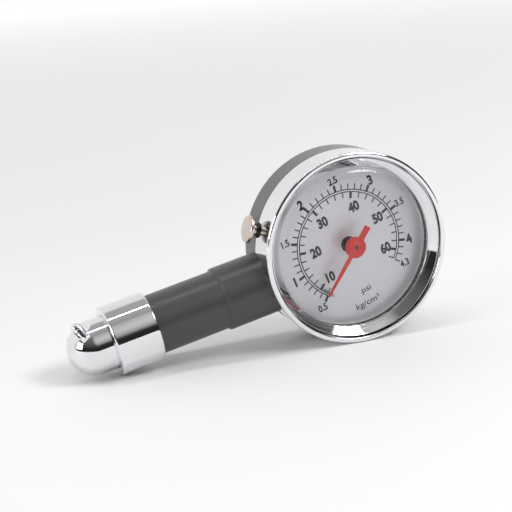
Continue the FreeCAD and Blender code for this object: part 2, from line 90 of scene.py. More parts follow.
screwSpots = screwPlaces()
print("frame loaded, stem leans", round(math.degrees(math.asin(-stemDir.z)), 2))


class Sock:
    def __init__(self, mat, socket):
        self.mat = mat
        self.socket = socket

    def maths(self, operation, a, b=0.0):
        return self.mat.node("ShaderNodeMath", {"operation": operation}, {0: a, 1: b})

    def __add__(self, other):
        return self.maths("ADD", self, other)

    def __mul__(self, other):
        return self.maths("MULTIPLY", self, other)

    def __sub__(self, other):
        return self.maths("SUBTRACT", self, other)

    def __rsub__(self, other):
        return self.maths("SUBTRACT", other, self)


class Mat:
    def __init__(self, name=None, tree=None):
        self.tree = tree
        if name:
            self.material = bpy.data.materials.new(name)
            self.material.use_nodes = True
            self.tree = self.material.node_tree
        self.tree.nodes.clear()
        if name:
            self.output = self.tree.nodes.new("ShaderNodeOutputMaterial")
            self.coords = self.node("ShaderNodeTexCoord", out="Object")

    def put(self, target, value):
        if isinstance(value, Sock):
            self.tree.links.new(value.socket, target)
        elif isinstance(value, tuple) and len(value) == 3 and target.type == "RGBA":
            target.default_value = (*value, 1.0)
        else:
            target.default_value = value

    def node(self, kind, settings=None, sockets=None, out=0):
        made = self.tree.nodes.new(kind)
        for key, value in (settings or {}).items():
            if key == "stops":
                ramp = made.color_ramp
                while len(ramp.elements) < len(value):
                    ramp.elements.new(0.5)
                for element, (place, colour) in zip(ramp.elements, value):
                    element.position = place
                    element.color = (*colour, 1.0) if isinstance(colour, tuple) else (colour,) * 3 + (1.0,)
            else:
                setattr(made, key, value)
        for key, value in (sockets or {}).items():
            self.put(made.inputs[key], value)
        return Sock(self, made.outputs[out])

    def noise(self, scale, detail=2.0, rough=0.5, distortion=0.0):
        return self.node("ShaderNodeTexNoise", {}, {"Vector": self.coords, "Scale": scale, "Detail": detail,
                                                    "Roughness": rough, "Distortion": distortion})

    def ramp(self, value, *stops):
        return self.node("ShaderNodeValToRGB", {"stops": stops}, {"Fac": value})

    def mix(self, factor, a, b):
        made = self.tree.nodes.new("ShaderNodeMix")
        made.data_type = "RGBA"
        self.put(made.inputs[0], factor)
        self.put(made.inputs[6], a)
        self.put(made.inputs[7], b)
        return Sock(self, made.outputs[2])

    def bump(self, height, strength, distance):
        return self.node("ShaderNodeBump", {}, {"Height": height, "Strength": strength, "Distance": distance})

    def principled(self, **sockets):
        named = {key.replace("_", " "): value for key, value in sockets.items()}
        return self.node("ShaderNodeBsdfPrincipled", {}, named)

    def finish(self, shader):
        self.tree.links.new(shader.socket, self.output.inputs["Surface"])
        return self.material


def chromeFinish():
    m = Mat("chrome plate")
    film = m.noise(90, 3, 0.6)
    fine = m.noise(900, 2, 0.5)
    rough = m.ramp(film, (0.3, 0.03), (0.75, 0.075))
    colour = m.mix(film, (0.785, 0.785, 0.805), (0.84, 0.84, 0.86))
    return m.finish(m.principled(Base_Color=colour, Metallic=1.0, Roughness=rough,
                                 Normal=m.bump(fine, 0.010, 0.0001)))


def gripFinish():
    m = Mat("moulded grey plastic")
    grain = m.noise(2600, 2, 0.6)
    patch = m.noise(60, 3, 0.55)
    colour = m.mix(patch, (0.050, 0.052, 0.055), (0.066, 0.068, 0.071))
    rough = m.ramp(patch, (0.3, 0.30), (0.7, 0.40))
    return m.finish(m.principled(Base_Color=colour, Roughness=rough, Specular_IOR_Level=0.5,
                                 Normal=m.bump(grain, 0.12, 0.0001)))


def housingFinish():
    m = Mat("moulded case plastic")
    grain = m.noise(2400, 2, 0.6)
    patch = m.noise(45, 3, 0.55)
    colour = m.mix(patch, (0.105, 0.108, 0.112), (0.125, 0.128, 0.132))
    rough = m.ramp(patch, (0.3, 0.27), (0.7, 0.36))
    return m.finish(m.principled(Base_Color=colour, Roughness=rough, Normal=m.bump(grain, 0.10, 0.0001)))


def dialFinish():
    m = Mat("silver dial lacquer")
    flake = m.noise(3800, 1, 0.5)
    cloud = m.noise(50, 2, 0.5)
    colour = m.mix(flake, (0.66, 0.645, 0.68), (0.80, 0.785, 0.825))
    rough = m.ramp(cloud, (0.3, 0.38), (0.7, 0.46))
    return m.finish(m.principled(Base_Color=colour, Metallic=0.45, Roughness=rough,
                                 Normal=m.bump(flake, 0.15, 0.00005)))


def inkFinish():
    m = Mat("black dial print")
    edge = m.noise(3000, 1, 0.5)
    colour = m.mix(edge, (0.012, 0.012, 0.013), (0.024, 0.024, 0.026))
    return m.finish(m.principled(Base_Color=colour, Roughness=0.55))


def pointerFinish():
    m = Mat("red pointer enamel")
    cloud = m.noise(400, 2, 0.5)
    colour = m.mix(cloud, (0.58, 0.012, 0.008), (0.70, 0.022, 0.014))
    return m.finish(m.principled(Base_Color=colour, Roughness=0.22, Specular_IOR_Level=0.45,
                                 Normal=m.bump(cloud, 0.06, 0.0001)))


def lensFinish():
    m = Mat("clear lens")
    dust = m.noise(700, 3, 0.6)
    clear = m.node("ShaderNodeBsdfTransparent", {}, {"Color": (0.975, 0.98, 0.98)})
    gloss = m.node("ShaderNodeBsdfGlossy", {}, {"Color": (1.0, 1.0, 1.0),
                                                "Roughness": m.ramp(dust, (0.45, 0.0), (0.85, 0.04))})
    outside = 1 - m.node("ShaderNodeNewGeometry", out="Backfacing")
    shine = m.node("ShaderNodeFresnel", {}, {"IOR": 1.49}) * outside
    return m.finish(m.node("ShaderNodeMixShader", {}, {0: shine, 1: clear, 2: gloss}))


def metalFinish(name, dark, light, roughLow, roughHigh, grainScale=1500):
    m = Mat(name)
    cloud = m.noise(300, 3, 0.6)
    grain = m.noise(grainScale, 2, 0.5)
    return m.finish(m.principled(Base_Color=m.mix(cloud, dark, light), Metallic=1.0,
                                 Roughness=m.ramp(cloud, (0.3, roughLow), (0.7, roughHigh)),
                                 Normal=m.bump(grain, 0.08, 0.0001)))


def rubberFinish():
    m = Mat("black rubber")
    cloud = m.noise(500, 3, 0.6)
    return m.finish(m.principled(Base_Color=m.mix(cloud, (0.014, 0.014, 0.015), (0.026, 0.026, 0.028)),
                                 Roughness=m.ramp(cloud, (0.3, 0.55), (0.7, 0.7)),
                                 Normal=m.bump(cloud, 0.15, 0.0002)))


def whitePlasticFinish():
    m = Mat("white plastic")
    cloud = m.noise(200, 2, 0.5)
    return m.finish(m.principled(Base_Color=m.mix(cloud, (0.55, 0.55, 0.54), (0.62, 0.62, 0.60)),
                                 Roughness=0.5, Normal=m.bump(cloud, 0.05, 0.0001)))


finish = {
    "chrome": chromeFinish(), "grey_plastic": gripFinish(), "housing": housingFinish(),
    "dial_silver": dialFinish(), "ink": inkFinish(), "pointer_red": pointerFinish(),
    "clear_lens": lensFinish(), "rubber": rubberFinish(), "white_plastic": whitePlasticFinish(),
    "steel": metalFinish("turned steel", (0.42, 0.42, 0.43), (0.55, 0.55, 0.56), 0.22, 0.36),
    "brass": metalFinish("machined brass", (0.62, 0.44, 0.20), (0.74, 0.56, 0.28), 0.20, 0.34),
    "bronze": metalFinish("drawn bronze", (0.52, 0.31, 0.15), (0.64, 0.40, 0.20), 0.22, 0.36),
    "nickel": metalFinish("nickel plate", (0.60, 0.52, 0.46), (0.68, 0.60, 0.54), 0.16, 0.26),
    # near-black nickel: partly the dark metal of the bush and arbor, partly painted shade for the shaded neck under
    # the bleed button
    "dark_nickel": metalFinish("dark nickel", (0.035, 0.031, 0.027), (0.07, 0.062, 0.052), 0.24, 0.36),
    # near-black brass for the movement plate: painted shade for the dark inside of the case seen through the dial
    # hole
    "shade_black": metalFinish("blackened brass", (0.035, 0.030, 0.024), (0.065, 0.055, 0.042), 0.35, 0.5),
}
for entry in frame["record"]["subparts"]:
    cadMesh = nodes[entry["node"]].data
    cadMesh.materials.clear()
    cadMesh.materials.append(finish[entry["material_slot"]])
# the pinion arbor end is dark nickel; the movement plate is made near black as painted shade for the shadowed hole
# behind the dial
darkParts = {"pinion_arbor": "dark_nickel", "movement_front_plate": "shade_black"}
for name, look in darkParts.items():
    nodes[name].data.materials[0] = finish[look]
print("finishes made")


def startPiece(name, kind, **settings):
    bpy.ops.object.select_all(action="DESELECT")
    adders = {"plane": bpy.ops.mesh.primitive_plane_add, "cube": bpy.ops.mesh.primitive_cube_add,
              "cylinder": bpy.ops.mesh.primitive_cylinder_add, "cone": bpy.ops.mesh.primitive_cone_add}
    adders[kind](**settings)
    piece = bpy.context.object
    piece.name = name
    bpy.ops.object.mode_set(mode="EDIT")
    return piece


def pickCorner(piece, place):
    mesh = bmesh.from_edit_mesh(piece.data)
    here = piece.matrix_world.inverted() @ place
    for vert in mesh.verts:
        vert.select_set((vert.co - here).length < 1e-6)
    mesh.select_flush_mode()
    bmesh.update_edit_mesh(piece.data)


def onlyThis(piece):
    bpy.ops.object.select_all(action="DESELECT")
    piece.select_set(True)
    bpy.context.view_layer.objects.active = piece


def cleanUp(piece):
    bpy.ops.mesh.select_all(action="SELECT")
    bpy.ops.mesh.remove_doubles(threshold=1e-6)
    bpy.ops.mesh.normals_make_consistent(inside=False)
    bpy.ops.object.mode_set(mode="OBJECT")
    onlyThis(piece)
    bpy.ops.object.transform_apply(location=True, rotation=True, scale=True)


def finishPiece(piece, body, look, replaced=(), angle=32):
    onlyThis(piece)
    bpy.ops.object.shade_smooth_by_angle(angle=math.radians(angle))
    # large flat faces keep their own shading, so small bevels don't bend reflections
    flats = piece.modifiers.new("flats", "WEIGHTED_NORMAL")
    flats.keep_sharp = True
    flats.weight = 100
    bpy.ops.object.modifier_apply(modifier="flats")
    piece.data.materials.clear()
    piece.data.materials.append(finish[look])
    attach(piece, body)
    if replaced:
        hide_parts(*replaced)


# outline corners are radius, distance along the axis, corner radius and its segments
def turnPiece(name, outline, at, axis, steps=144):
    side = axis.orthogonal().normalized()
    places = [at + side * corner[0] * mm + axis * corner[1] * mm for corner in outline]
    closed = outline[0][0] > 0 or outline[-1][0] > 0
    piece = startPiece(name, "plane", size=mm, location=places[0])
    bpy.ops.mesh.merge(type="CENTER")
    ends = places[1:] + places[:1] if closed else places[1:]
    for here, there in zip(places, ends):
        bpy.ops.mesh.extrude_region_move(TRANSFORM_OT_translate={"value": there - here})
    bpy.ops.mesh.select_all(action="SELECT")
    bpy.ops.mesh.remove_doubles(threshold=1e-7)
    for corner, place in zip(outline, places):
        if len(corner) > 2:
            pickCorner(piece, place)
            bpy.ops.mesh.bevel(affect="VERTICES", offset=corner[2] * mm, clamp_overlap=False,
                               segments=corner[3] if len(corner) > 3 else 4)
    bpy.ops.mesh.select_all(action="SELECT")
    bpy.ops.mesh.spin(steps=steps, angle=2 * math.pi, center=at, axis=axis)
    cleanUp(piece)
    return piece


def cutAway(piece, cutter):
    onlyThis(piece)
    cut = piece.modifiers.new("cut", "BOOLEAN")
    cut.operation = "DIFFERENCE"
    cut.solver = "EXACT"
    cut.object = cutter
    bpy.ops.object.modifier_apply(modifier=cut.name)
    bpy.data.objects.remove(cutter, do_unlink=True)


def softenEdges(piece, width, angle=40, segments=2):
    onlyThis(piece)
    edge = piece.modifiers.new("soft edge", "BEVEL")
    edge.width = width * mm
    edge.segments = segments
    edge.limit_method = "ANGLE"
    edge.angle_limit = math.radians(angle)
    edge.use_clamp_overlap = True
    bpy.ops.object.modifier_apply(modifier=edge.name)


def turnTo(axis):
    return axis.to_track_quat("Z", "Y").to_euler()


def rodCutter(radius, at, axis, near, far, vertices=96):
    centre = at + axis * (near + far) / 2 * mm
    cutter = startPiece("cutter", "cylinder", radius=radius * mm, depth=(far - near) * mm, vertices=vertices,
                        location=centre, rotation=turnTo(axis))
    cleanUp(cutter)
    return cutter


def coneCutter(lowRadius, highRadius, at, axis, near, far):
    centre = at + axis * (near + far) / 2 * mm
    cutter = startPiece("cutter", "cone", radius1=lowRadius * mm, radius2=highRadius * mm, depth=(far - near) * mm,
                        vertices=96, location=centre, rotation=turnTo(axis))
    cleanUp(cutter)
    return cutter


def boxCutter(size, centre, axes):
    cutter = startPiece("cutter", "cube", size=1.0)
    bpy.ops.object.mode_set(mode="OBJECT")
    turn = Matrix(axes).transposed().to_4x4()
    cutter.matrix_world = Matrix.Translation(centre) @ turn @ Matrix.Diagonal((*[s * mm for s in size], 1.0))
    onlyThis(cutter)
    bpy.ops.object.transform_apply(location=True, rotation=True, scale=True)
    return cutter


origin = Vector((0, 0, 0))
front = Vector((0, -1, 0))          # out of the dial; depths below run this way from the case back
sideHoles = {"stem": 2.55, "bleed": 2.05, "stemFrom": 5, "bleedFrom": 12, "to": 30}


# opens a case drum for the stem's thread and the bleed bush
def openSides(piece):
    cutAway(piece, rodCutter(sideHoles["stem"], stemPoint, stemDir, sideHoles["stemFrom"], sideHoles["to"], 48))
    cutAway(piece, rodCutter(sideHoles["bleed"], bleedPoint, bleedDir, sideHoles["bleedFrom"], sideHoles["to"], 48))


def makeHousing():
    body = {"radius": 24.7, "wall": 1.5, "floor": 1.4, "border": 8.8, "backEdge": 1.9, "spigotIn": 22.4,
            "spigotOut": 23.55, "spigotEnd": 11.5, "screwHole": 1.35, "screwHead": 2.75, "headDepth": 1.1}
    inside = body["radius"] - body["wall"]
    outline = [(0, 0), (body["radius"], 0, body["backEdge"], 10), (body["radius"], body["border"], 0.12, 3),
               (body["spigotOut"], body["border"]), (body["spigotOut"], body["spigotEnd"], 0.1, 2),
               (body["spigotIn"], body["spigotEnd"], 0.1, 2), (body["spigotIn"], body["border"]),
               (inside, body["border"] - 0.8), (inside, body["floor"], 0.5, 3), (0, body["floor"])]
    piece = turnPiece("rearHousing", outline, origin, front, 192)
    openSides(piece)
    for spot in screwSpots:
        cutAway(piece, rodCutter(body["screwHole"], spot, front, -1, 3, 48))
        cutAway(piece, coneCutter(body["screwHead"], 1.3, spot, front, -0.35, body["headDepth"]))
    finishPiece(piece, "case", "housing", ("rear_housing",))


def makeScrews():
    screw = {"radius": 2.35, "neck": 1.15, "sink": 0.12, "depth": 1.0, "slot": 0.5, "slotDepth": 0.45,
             "end": 3.6, "turned": 68}
    outline = [(0, screw["sink"]), (screw["radius"], screw["sink"], 0.06, 2),
               (screw["neck"], screw["depth"] + 0.1), (screw["neck"], screw["end"], 0.2, 2), (0, screw["end"])]
    first = turnPiece("backScrew", outline, screwSpots[0], front, 64)
    slotAxes = (Vector((0.94, 0, 0.342)), Vector((0, 1, 0)), Vector((-0.342, 0, 0.94)))
    slotBox = (screw["radius"] * 2.4, screw["slotDepth"] * 2, screw["slot"])
    cutAway(first, boxCutter(slotBox, screwSpots[0] + front * screw["sink"] * mm, slotAxes))
    second = first.copy()
    second.data = first.data.copy()
    second.name = "backScrewLower"
    bpy.context.scene.collection.objects.link(second)
    onlyThis(second)
    bpy.ops.transform.rotate(value=math.radians(screw["turned"]), orient_axis="Y", center_override=screwSpots[0])
    bpy.ops.transform.translate(value=screwSpots[1] - screwSpots[0])
    bpy.ops.object.transform_apply(location=True, rotation=True, scale=True)
    finishPiece(first, "case", "steel")
    finishPiece(second, "case", "steel", ("socket_screws",))


def makeShell():
    shell = {"radius": 24.7, "inner": 23.65, "rim": 25.0, "border": 8.8, "front": 18.2, "roll": 0.7,
             "stepBack": 16.75, "stepFront": 17.05}
    outline = [(shell["inner"], shell["border"]), (shell["radius"], shell["border"], 0.15, 3),
               (shell["radius"], shell["stepBack"], 0.2, 3), (shell["rim"], shell["stepFront"], 0.2, 3),
               (shell["rim"], shell["front"], shell["roll"], 12), (shell["inner"], shell["front"], 0.3, 5)]
    piece = turnPiece("frontShell", outline, origin, front, 256)
    openSides(piece)
    finishPiece(piece, "case", "chrome", ("front_shell",), 25)


def makeBezel():
    funnel = {"lip": 21.05, "lipDepth": 15.6, "top": 23.15, "topDepth": 17.4, "outer": 23.6,
              "under": 15.0, "skirt": 14.0, "skirtWall": 0.6}
    skirtInner = funnel["outer"] - funnel["skirtWall"]
    outline = [(funnel["lip"], funnel["under"]), (funnel["lip"], funnel["lipDepth"], 0.12, 3),
               (funnel["top"], funnel["topDepth"], 0.12, 3), (funnel["top"] + 0.1, funnel["topDepth"] - 0.15),
               (funnel["top"] + 0.15, funnel["topDepth"] - 1.2), (funnel["outer"], funnel["topDepth"] - 1.3),
               (funnel["outer"], funnel["skirt"]), (skirtInner, funnel["skirt"]), (skirtInner, funnel["under"])]
    piece = turnPiece("bezelRing", outline, origin, front, 256)
    finishPiece(piece, "case", "chrome", ("bezel_ring",), 25)


def makeLens():
    glass = {"apex": 18.6, "crown": 0.7, "shoulder": 19.4, "side": 20.9, "thickness": 1.1, "bevelEnd": 20.55,
             "bevelDepth": 17.1, "flange": 22.9, "flangeFront": 15.0, "flangeBack": 13.9, "inside": 19.8}
    rings = (0, 4, 8, 12, 15, 17.5)
    outer = [(r, glass["apex"] - glass["crown"] * (r / glass["shoulder"]) ** 2) for r in rings]
    outer += [(glass["shoulder"] - 0.2, glass["apex"] - glass["crown"], 0.8, 7),
              (glass["bevelEnd"], glass["bevelDepth"], 0.6, 5), (glass["side"], 16.4),
              (glass["side"], glass["flangeFront"]), (glass["flange"], glass["flangeFront"], 0.1, 2),
              (glass["flange"], glass["flangeBack"], 0.1, 2), (glass["inside"], glass["flangeBack"])]
    under = glass["apex"] - glass["thickness"]
    rings = (17.0, 14.0, 10.0, 5.0, 0)
    inner = [(glass["inside"], 15.5), (18.6, under - glass["crown"], 0.4, 3)]
    inner += [(r, under - glass["crown"] * (r / glass["shoulder"]) ** 2) for r in rings]
    piece = turnPiece("lens", outer + inner, origin, front, 192)
    finishPiece(piece, "case", "clear_lens", ("lens",), 50)


def makeSeals():
    seal = {"outer": 22.9, "inner": 21.15, "front": 13.9, "back": 13.3}
    outline = [(seal["inner"], seal["back"]), (seal["inner"], seal["front"], 0.1, 3),
               (seal["outer"], seal["front"], 0.1, 3), (seal["outer"], seal["back"])]
    piece = turnPiece("lensGasket", outline, origin, front, 144)
    finishPiece(piece, "case", "rubber", ("lens_gasket",))
    spacer = {"outer": 23.4, "inner": 21.05, "front": 13.3, "back": 12.0}
    outline = [(spacer["inner"], spacer["back"]), (spacer["inner"], spacer["front"], 0.15, 3),
               (spacer["outer"], spacer["front"], 0.15, 3), (spacer["outer"], spacer["back"])]
    piece = turnPiece("dialSpacer", outline, origin, front, 144)
    finishPiece(piece, "case", "white_plastic", ("dial_spacer",))


def makeDial():
    dial = {"radius": 23.25, "hole": 2.1, "face": 12.0, "back": 11.5}
    outline = [(dial["hole"], dial["back"]), (dial["hole"], dial["face"], 0.05, 2),
               (dial["radius"], dial["face"], 0.05, 2), (dial["radius"], dial["back"])]
    piece = turnPiece("dialPlate", outline, origin, front, 192)
    finishPiece(piece, "case", "dial_silver", ("dial_plate",))


def dialPoint(radius, degrees, depth):
    angle = math.radians(degrees)
    return Vector((radius * math.cos(angle), -depth, radius * math.sin(angle))) * mm


# one raised bar along a radius of the dial
def addTick(inner, outer, width, degrees, top):
    angle = math.radians(degrees)
    middle = dialPoint((inner + outer) / 2, degrees, top - 0.01)
    tick = startPiece("tick", "cube", size=mm, location=middle, rotation=(0, -angle, 0))
    bpy.ops.object.mode_set(mode="OBJECT")
    tick.scale = (outer - inner, 0.02, width)
    bpy.ops.object.transform_apply(location=True, rotation=True, scale=True)
    return tick


def addLabel(words, height, place, turn, bold=0.0, narrow=0.8):
    bpy.ops.object.select_all(action="DESELECT")
    bpy.ops.object.text_add(location=place, rotation=(math.pi / 2, -turn, 0))
    label = bpy.context.object
    label.data.body = words
    label.data.align_x = "CENTER"
    label.data.align_y = "CENTER"
    label.data.size = height * mm / 0.72
    label.data.offset = bold * mm
    label.data.extrude = 0.01 * mm
    label.data.resolution_u = 4
    label.scale = (narrow, 1, 1)
    bpy.ops.object.convert(target="MESH")
    bpy.ops.object.transform_apply(location=True, rotation=True, scale=True)
    return label


def joinAll(parts, name):
    bpy.ops.object.select_all(action="DESELECT")
    for part in parts:
        part.select_set(True)
    bpy.context.view_layer.objects.active = parts[0]
    bpy.ops.object.join()
    joined = bpy.context.object
    joined.name = name
    bpy.ops.object.mode_set(mode="EDIT")
    cleanUp(joined)
    return joined


def makePrint():
    scale = {"tilt": 11.655, "textTurn": 18.66, "top": 12.03, "ring": 14.11, "ringGap": 0.6, "line": 0.27,
             "kgStart": 231.0, "kgStep": 70.5, "kgLow": 0.5, "kgHigh": 4.3,
             "psiStart": 220.2, "psiStep": 4.92, "psiLow": 8, "psiHigh": 62,
             "major": 1.75, "kgMinor": 1.55, "psiMinor": 1.5, "thick": 0.68, "thin": 0.32}
    text = {"whole": 2.5, "half": 1.85, "psi": 2.55, "units": 1.7, "wholeBold": 0.15, "halfBold": 0.075,
            "psiBold": 0.17, "unitsBold": 0.015, "kgNarrow": 0.85, "psiNarrow": 0.82, "unitsWide": 1.15}
    top, tilt = scale["top"], scale["tilt"]
    rings = []
    for shift in (-1, 1):
        middle = scale["ring"] + shift * scale["ringGap"] / 2
        low, high = middle - scale["line"] / 2, middle + scale["line"] / 2
        outline = [(low, top - 0.025), (low, top), (high, top), (high, top - 0.025)]
        rings.append(turnPiece("ring", outline, origin, front, 192))
    endAngle = scale["kgStart"] - scale["kgStep"] * (scale["kgHigh"] - scale["kgLow"]) + tilt
    startAngle = scale["kgStart"] + tilt
    openArc(rings, endAngle, startAngle)
    marks = list(rings)
    outside = scale["ring"] + scale["ringGap"] / 2
    inside = scale["ring"] - scale["ringGap"] / 2
    for tenth in range(round(scale["kgLow"] * 10), round(scale["kgHigh"] * 10) + 1):
        degrees = scale["kgStart"] - scale["kgStep"] * (tenth / 10 - scale["kgLow"]) + tilt
        length, width = (scale["major"], scale["thick"]) if tenth % 5 == 0 else (scale["kgMinor"], scale["thin"])
        marks.append(addTick(outside, outside + length, width, degrees, top))
    for pressure in range(scale["psiLow"], scale["psiHigh"] + 1, 2):
        degrees = scale["psiStart"] - scale["psiStep"] * (pressure - 10) + tilt
        length, width = (scale["major"], scale["thick"]) if pressure % 10 == 0 else (scale["psiMinor"], scale["thin"])
        marks.append(addTick(inside - length, inside, width, degrees, top))
    turn = math.radians(scale["textTurn"])
    kilograms = {"0.5": 17.9, "1": 17.4, "1.5": 17.85, "2": 17.4, "2.5": 17.4, "3": 17.4, "3.5": 17.5,
                 "4": 17.4, "4.3": 17.5}                       # label and its radius
    for words, radius in kilograms.items():
        degrees = scale["kgStart"] - scale["kgStep"] * (float(words) - scale["kgLow"]) + tilt
        size = "whole" if len(words) == 1 else "half"
        marks.append(addLabel(words, text[size], dialPoint(radius, degrees, top), turn, text[size + "Bold"],
                              text["kgNarrow"]))
    pounds = {"10": (9.96, -137.3), "20": (9.3, 174), "30": (9.6, 125), "40": (9.8, 66.5), "50": (10.3, 22),
              "60": (10.8, -26)}                               # label, its radius and angle
    for words, (radius, degrees) in pounds.items():
        marks.append(addLabel(words, text["psi"], dialPoint(radius, degrees + tilt, top), turn, text["psiBold"],
                              text["psiNarrow"]))
    for words, radius, degrees in (("psi", 13.4, -83), ("kg/cm²", 17.0, -86)):
        marks.append(addLabel(words, text["units"], dialPoint(radius, degrees + tilt, top), turn,
                              text["unitsBold"], text["unitsWide"]))
    piece = joinAll(marks, "dialPrint")
    finishPiece(piece, "case", "ink")


# cuts the gap at the bottom of the scale out of each ring
def openArc(rings, endAngle, startAngle):
    gap = {"radius": 14.0, "edge": 14.5, "deep": 6, "tall": 1, "level": 12}
    middle = (endAngle + startAngle - 360) / 2
    half = (startAngle - endAngle - 360) / 2
    for ring in rings:
        for side in (-1, 1):
            reach = math.radians(middle + side * abs(half) / 2)
            across = Vector((math.cos(reach), 0, math.sin(reach)))
            width = 2 * gap["edge"] * math.sin(math.radians(abs(half) / 2))
            axes = (across, Vector((0, 1, 0)), Vector((-across.z, 0, across.x)))
            middleOfCut = (across * gap["radius"] + front * gap["level"]) * mm
            cutAway(ring, boxCutter((gap["deep"], gap["tall"], width), middleOfCut, axes))


def makePointer():
    hand = {"tip": 14.5, "tail": 6.2, "tailWidth": 1.7, "rootWidth": 1.32, "tipWidth": 0.6, "base": 16.5,
            "top": 16.9, "hub": 2.8, "hubTop": 17.1, "rest": 234.755, "bore": 0.52, "boss": 1.3,
            "bossEnd": 15.0, "hubBack": 16.0, "hubEdge": 16.75, "hubCrown": 2.35}
    angle = math.radians(hand["rest"])
    ahead = Vector((math.cos(angle), 0, math.sin(angle)))
    across = Vector((-ahead.z, 0, ahead.x))
    start = (across * hand["tailWidth"] / 2 - ahead * hand["tail"] + front * hand["base"]) * mm
    blade = startPiece("pointer", "plane", size=mm, location=start)
    bpy.ops.mesh.merge(type="CENTER")
    # distance along the blade and half its width there
    rim = [(-hand["tail"], hand["tailWidth"] / 2), (-1.0, hand["tailWidth"] / 2), (0, hand["rootWidth"] / 2),
           (hand["tip"] - 0.5, hand["tipWidth"] / 2), (hand["tip"], 0.1)]
    rim += [(reach, -half) for reach, half in reversed(rim)]
    for (x0, y0), (x1, y1) in zip(rim, rim[1:] + rim[:1]):
        move = (ahead * (x1 - x0) + across * (y1 - y0)) * mm
        bpy.ops.mesh.extrude_region_move(TRANSFORM_OT_translate={"value": move})
    bpy.ops.mesh.select_all(action="SELECT")
    bpy.ops.mesh.remove_doubles(threshold=1e-7)
    bpy.ops.mesh.edge_face_add()
    move = front * (hand["top"] - hand["base"]) * mm
    bpy.ops.mesh.extrude_region_move(TRANSFORM_OT_translate={"value": move})
    cleanUp(blade)
    softenEdges(blade, 0.08, 50)
    hubOutline = [(hand["bore"], hand["bossEnd"]), (hand["boss"], hand["bossEnd"]),
                  (hand["boss"], hand["hubBack"]), (hand["hub"], hand["hubBack"], 0.15, 2),
                  (hand["hub"], hand["hubEdge"], 0.1, 2), (hand["hubCrown"], hand["hubTop"], 0.5, 5),
                  (hand["bore"], hand["hubTop"] - 0.05)]
    hub = turnPiece("pointerHub", hubOutline, origin, front, 96)
    cutAway(blade, rodCutter(1.5, origin, front, 15, 19, 48))
    finishPiece(blade, "pointer", "pointer_red", ("pointer",))
    finishPiece(hub, "pointer", "pointer_red", (), 40)


def makeStop():
    pin = {"radius": 0.5, "top": 17.0, "foot": 12.0}
    at = boxCentre("stop_pin")
    at = Vector((at.x, 0, at.z))
    outline = [(0, pin["foot"]), (pin["radius"], pin["foot"]), (pin["radius"], pin["top"], 0.15, 3),
               (0, pin["top"])]
    piece = turnPiece("stopPin", outline, at, front, 32)
    finishPiece(piece, "case", "steel", ("stop_pin",), 40)


def makeGrip():
    grip = {"radius": 7.7, "root": 8.3, "rootEnd": 36.6, "start": 19.0, "end": 61.0, "bore": 4.05,
            "caseGap": 24.72}
    outline = [(grip["bore"], grip["start"]), (grip["root"], grip["start"]),
               (grip["root"], grip["rootEnd"] - 0.35, 0.3, 3), (grip["radius"], grip["rootEnd"] + 0.05, 0.2, 3),
               (grip["radius"], grip["end"]), (grip["bore"], grip["end"])]
    piece = turnPiece("gripSleeve", outline, stemPoint, stemDir, 160)
    cutAway(piece, rodCutter(grip["caseGap"], origin, front, -5, 25, 512))
    softenEdges(piece, 0.12, 50)
    finishPiece(piece, "case", "grey_plastic", ("grip_sleeve",), 28)


def makeCollar():
    collar = {"radius": 9.07, "start": 55.25, "step": 61.0, "end": 66.8, "edge": 0.45, "gripBore": 7.75,
              "headBore": 7.05}
    outline = [(collar["gripBore"], collar["start"]), (collar["radius"], collar["start"], collar["edge"], 5),
               (collar["radius"], collar["end"], collar["edge"] + 0.1, 5),
               (collar["headBore"], collar["end"], 0.12, 2), (collar["headBore"], collar["step"]),
               (collar["gripBore"], collar["step"])]
    piece = turnPiece("chuckCollar", outline, stemPoint, stemDir, 224)
    finishPiece(piece, "case", "chrome", ("chuck_collar",), 25)


